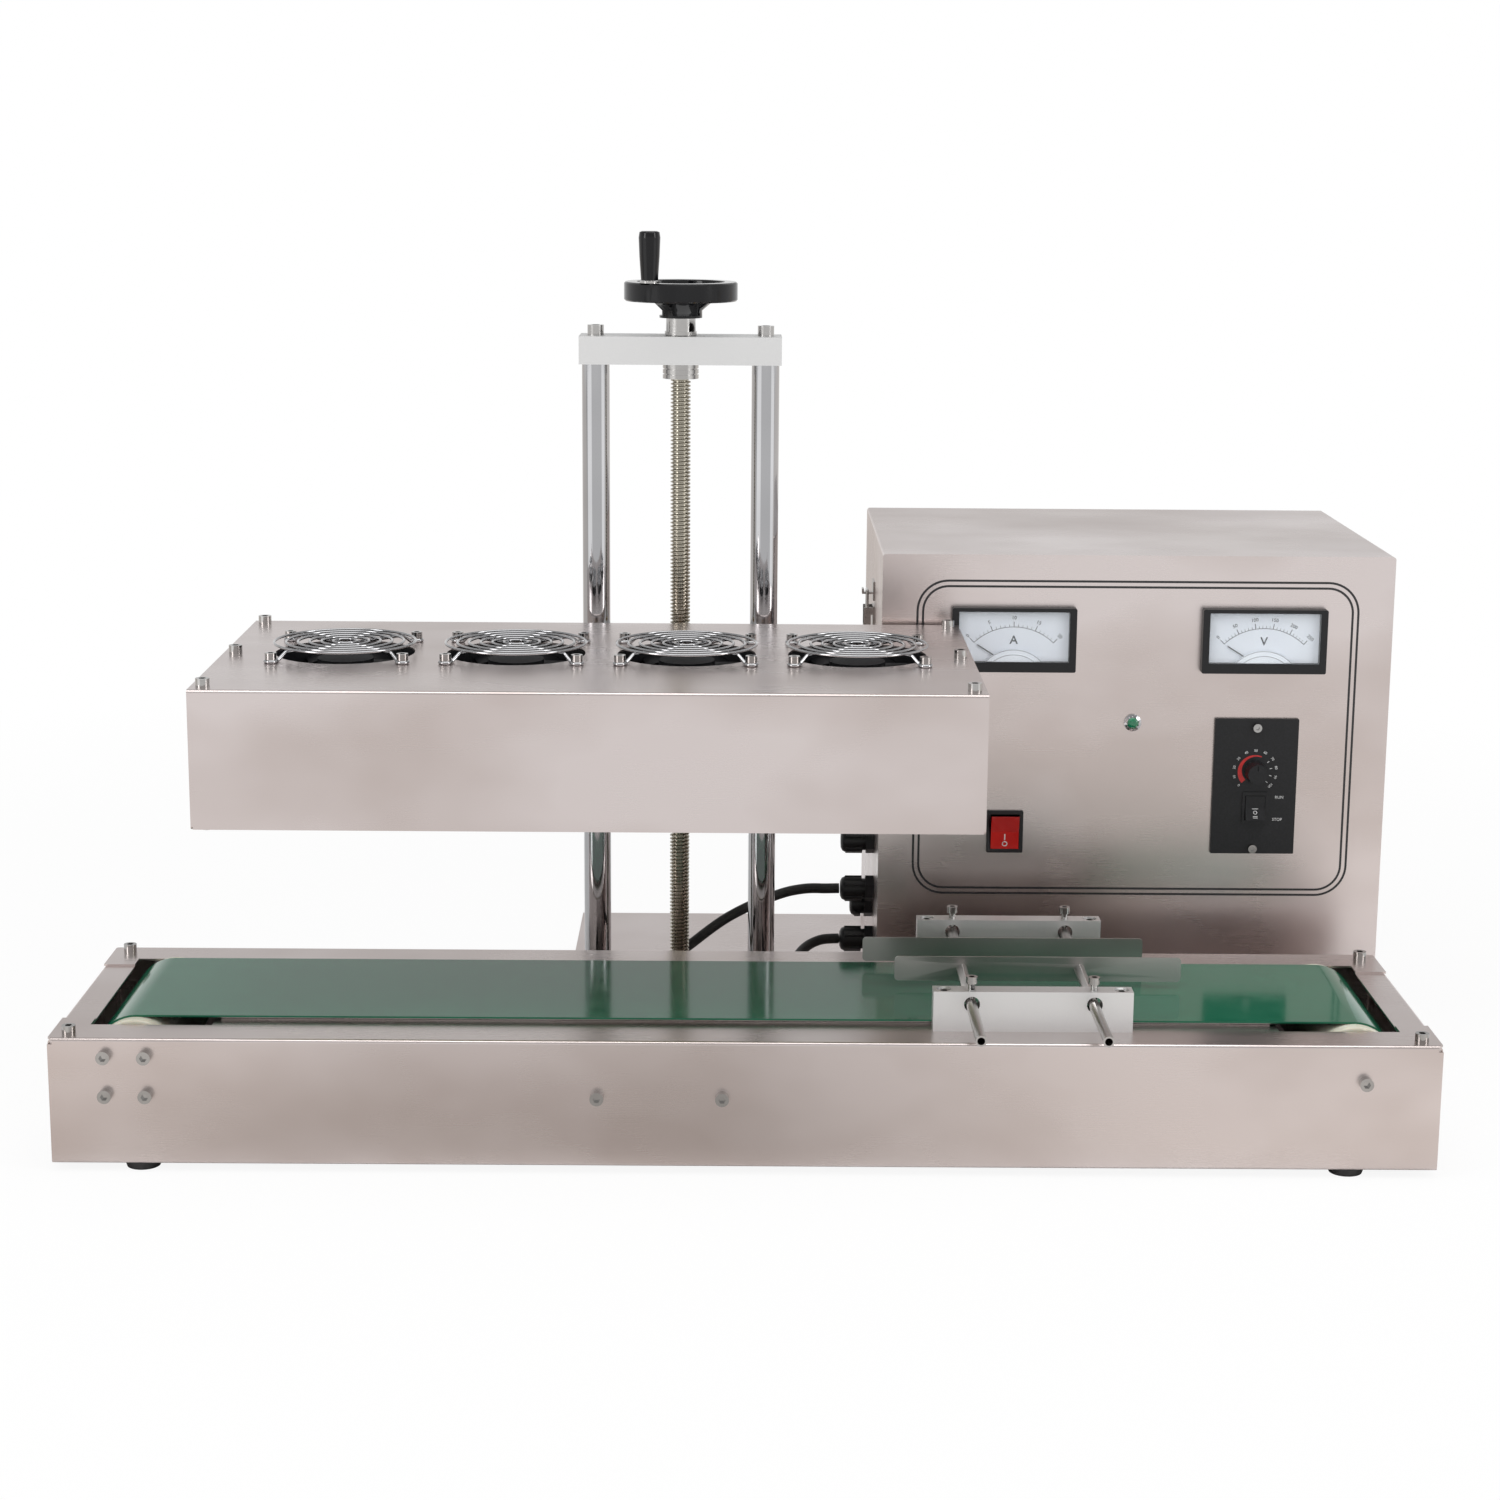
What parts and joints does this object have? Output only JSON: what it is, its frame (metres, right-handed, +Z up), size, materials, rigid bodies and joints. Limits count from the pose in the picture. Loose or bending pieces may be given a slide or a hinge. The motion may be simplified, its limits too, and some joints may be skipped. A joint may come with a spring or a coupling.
{
  "type": "induction cap sealer",
  "caption": "Bench-top continuous induction cap sealer: belt conveyor, height-adjustable induction head with cooling fans, bottle guides and control cabinet.",
  "frame": {"origin": "centre of the machine's footprint on the floor, under the rubber feet", "axes": "+X along the conveyor towards the control cabinet's end, +Y away from the operator, +Z up"},
  "size_m": [1.019, 0.666, 0.6622],
  "materials": {
    "stainless": "brushed stainless sheet",
    "polished_steel": "bright stainless",
    "screw_steel": "bright steel screws and small fittings",
    "belt_green": "glossy green PVC",
    "roller_nylon": "turned ivory nylon",
    "aluminium": "satin anodised",
    "chrome": "hard chrome",
    "lead_screw": "turned steel",
    "bronze": "machined bronze",
    "black_plastic": "moulded black plastic",
    "wheel_black": "glossy black phenolic",
    "needle": "black lacquer",
    "red_rocker": "translucent red plastic",
    "lamp_green": "green lens",
    "rubber_black": "black rubber",
    "copper": "wound litz wire and ferrite",
    "base_board": "glass fibre board",
    "motor_grey": "dark grey enamel"
  },
  "bodies": {
    "root": {"side_panel_front": "stainless", "side_panel_rear": "stainless", "end_pieces": "stainless", "slider_bed": "stainless", "conveyor_belt": "belt_green", "bearing_blocks": "aluminium", "idler_mount": "screw_steel", "crossmember": "stainless", "drive_motor": "motor_grey", "timing_belt": "rubber_black", "rubber_feet": "rubber_black", "base_tray": "stainless", "frame_screws": "screw_steel", "guide_blocks": "aluminium", "lift_columns": "chrome", "lift_crossbars": "aluminium", "cabinet_body": "stainless", "cabinet_lid": "stainless", "meter_housings": "black_plastic", "lamp_bezel": "chrome", "lamp_lens": "lamp_green", "switch_frame": "black_plastic", "speed_panel": "black_plastic", "cable_glands": "black_plastic", "mains_inlet": "black_plastic", "latch_plates": "screw_steel", "power_module": "aluminium", "motor_leads": "rubber_black"},
    "drive": {"drive_roller": "roller_nylon", "drive_shaft": "screw_steel"},
    "idler": {"idler_roller": "roller_nylon"},
    "motor_rotor": {"motor_pulley": "screw_steel"},
    "front_guide": {"front_guide": "polished_steel"},
    "rear_guide": {"rear_guide": "polished_steel"},
    "head": {"head_cover": "stainless", "head_ends": "stainless", "head_base": "base_board", "head_screws": "screw_steel", "fan_frames": "black_plastic", "fan_guards": "chrome", "induction_coil": "copper", "head_gland": "black_plastic", "lift_carriage": "aluminium", "carriage_bushings": "bronze"},
    "fan_1": {"fan_rotor_1": "black_plastic"},
    "fan_2": {"fan_rotor_2": "black_plastic"},
    "fan_3": {"fan_rotor_3": "black_plastic"},
    "fan_4": {"fan_rotor_4": "black_plastic"},
    "screw": {"lead_screw": "lead_screw", "screw_hardware": "screw_steel", "handwheel": "wheel_black"},
    "grip": {"wheel_grip": "wheel_black"},
    "ammeter_needle": {"ammeter_needle": "needle"},
    "voltmeter_needle": {"voltmeter_needle": "needle"},
    "speed_knob": {"speed_knob": "black_plastic"},
    "power_rocker": {"power_rocker": "red_rocker"},
    "run_rocker": {"run_rocker": "black_plastic"},
    "latch_lever": {"latch_lever": "screw_steel"},
    "latch_bail": {"latch_bail": "screw_steel"}
  },
  "joints": [
    {"name": "drive_spin", "type": "hinge", "parent": "root", "child": "drive", "pos_m": [-0.4545, -0.16, 0.0725], "axis": [0, 1, 0], "continuous": true},
    {"name": "idler_spin", "type": "hinge", "parent": "root", "child": "idler", "pos_m": [0.4355, -0.16, 0.0725], "axis": [0, 1, 0], "continuous": true},
    {"name": "motor_spin", "type": "hinge", "parent": "root", "child": "motor_rotor", "pos_m": [-0.0715, -0.256, 0.0725], "axis": [0, 1, 0], "continuous": true},
    {"name": "front_guide_slide", "type": "slide", "parent": "root", "child": "front_guide", "axis": [0, 1, 0], "range_m": [-0.078, 0.04]},
    {"name": "rear_guide_slide", "type": "slide", "parent": "root", "child": "rear_guide", "axis": [0, 1, 0], "range_m": [-0.009, 0.004]},
    {"name": "head_lift", "type": "slide", "parent": "root", "child": "head", "axis": [0, 0, 1], "range_m": [-0.095, 0.19]},
    {"name": "handwheel_turn", "type": "hinge", "parent": "root", "child": "screw", "pos_m": [-0.064, 0.05, 0.3], "axis": [0, 0, 1], "range_deg": [-11401, 22801]},
    {"name": "grip_spin", "type": "hinge", "parent": "screw", "child": "grip", "pos_m": [-0.08791, 0.02047, 0.64], "axis": [0, 0, 1], "continuous": true},
    {"name": "fan_1_spin", "type": "hinge", "parent": "head", "child": "fan_1", "pos_m": [-0.3115, -0.123, 0.34], "axis": [0, 0, 1], "continuous": true},
    {"name": "fan_2_spin", "type": "hinge", "parent": "head", "child": "fan_2", "pos_m": [-0.1835, -0.123, 0.34], "axis": [0, 0, 1], "continuous": true},
    {"name": "fan_3_spin", "type": "hinge", "parent": "head", "child": "fan_3", "pos_m": [-0.0555, -0.123, 0.34], "axis": [0, 0, 1], "continuous": true},
    {"name": "fan_4_spin", "type": "hinge", "parent": "head", "child": "fan_4", "pos_m": [0.0725, -0.123, 0.34], "axis": [0, 0, 1], "continuous": true},
    {"name": "ammeter_swing", "type": "hinge", "parent": "root", "child": "ammeter_needle", "pos_m": [0.2043, 0.0271, 0.3185], "axis": [0, 1, 0], "range_deg": [0, 116], "stiffness_Nm_per_rad": 0.00001},
    {"name": "voltmeter_swing", "type": "hinge", "parent": "root", "child": "voltmeter_needle", "pos_m": [0.4055, 0.0271, 0.3185], "axis": [0, 1, 0], "range_deg": [0, 116], "stiffness_Nm_per_rad": 0.00001},
    {"name": "speed_knob_turn", "type": "hinge", "parent": "root", "child": "speed_knob", "pos_m": [0.4032, 0.032, 0.2336], "axis": [0, 1, 0], "range_deg": [0, 270]},
    {"name": "power_rocker_tilt", "type": "hinge", "parent": "root", "child": "power_rocker", "pos_m": [0.2014, 0.0295, 0.1818], "axis": [1, 0, 0], "range_deg": [-18, 0]},
    {"name": "run_rocker_tilt", "type": "hinge", "parent": "root", "child": "run_rocker", "pos_m": [0.4042, 0.02775, 0.2033], "axis": [1, 0, 0], "range_deg": [0, 18]},
    {"name": "latch_lever_swing", "type": "hinge", "parent": "root", "child": "latch_lever", "pos_m": [0.0925, 0.17, 0.342], "axis": [0, 1, 0], "range_deg": [0, 90]},
    {"name": "latch_bail_swing", "type": "hinge", "parent": "latch_lever", "child": "latch_bail", "pos_m": [0.0925, 0.17, 0.335], "axis": [0, 1, 0], "range_deg": [-80, 0]}
  ],
  "couplings": [
    {"joint": "idler_spin", "follows": "drive_spin", "ratio": 1},
    {"joint": "motor_spin", "follows": "drive_spin", "ratio": 1},
    {"joint": "handwheel_turn", "follows": "head_lift", "rad_per_m": 2094.4},
    {"joint": "latch_bail_swing", "follows": "latch_lever_swing", "ratio": -0.78}
  ]
}
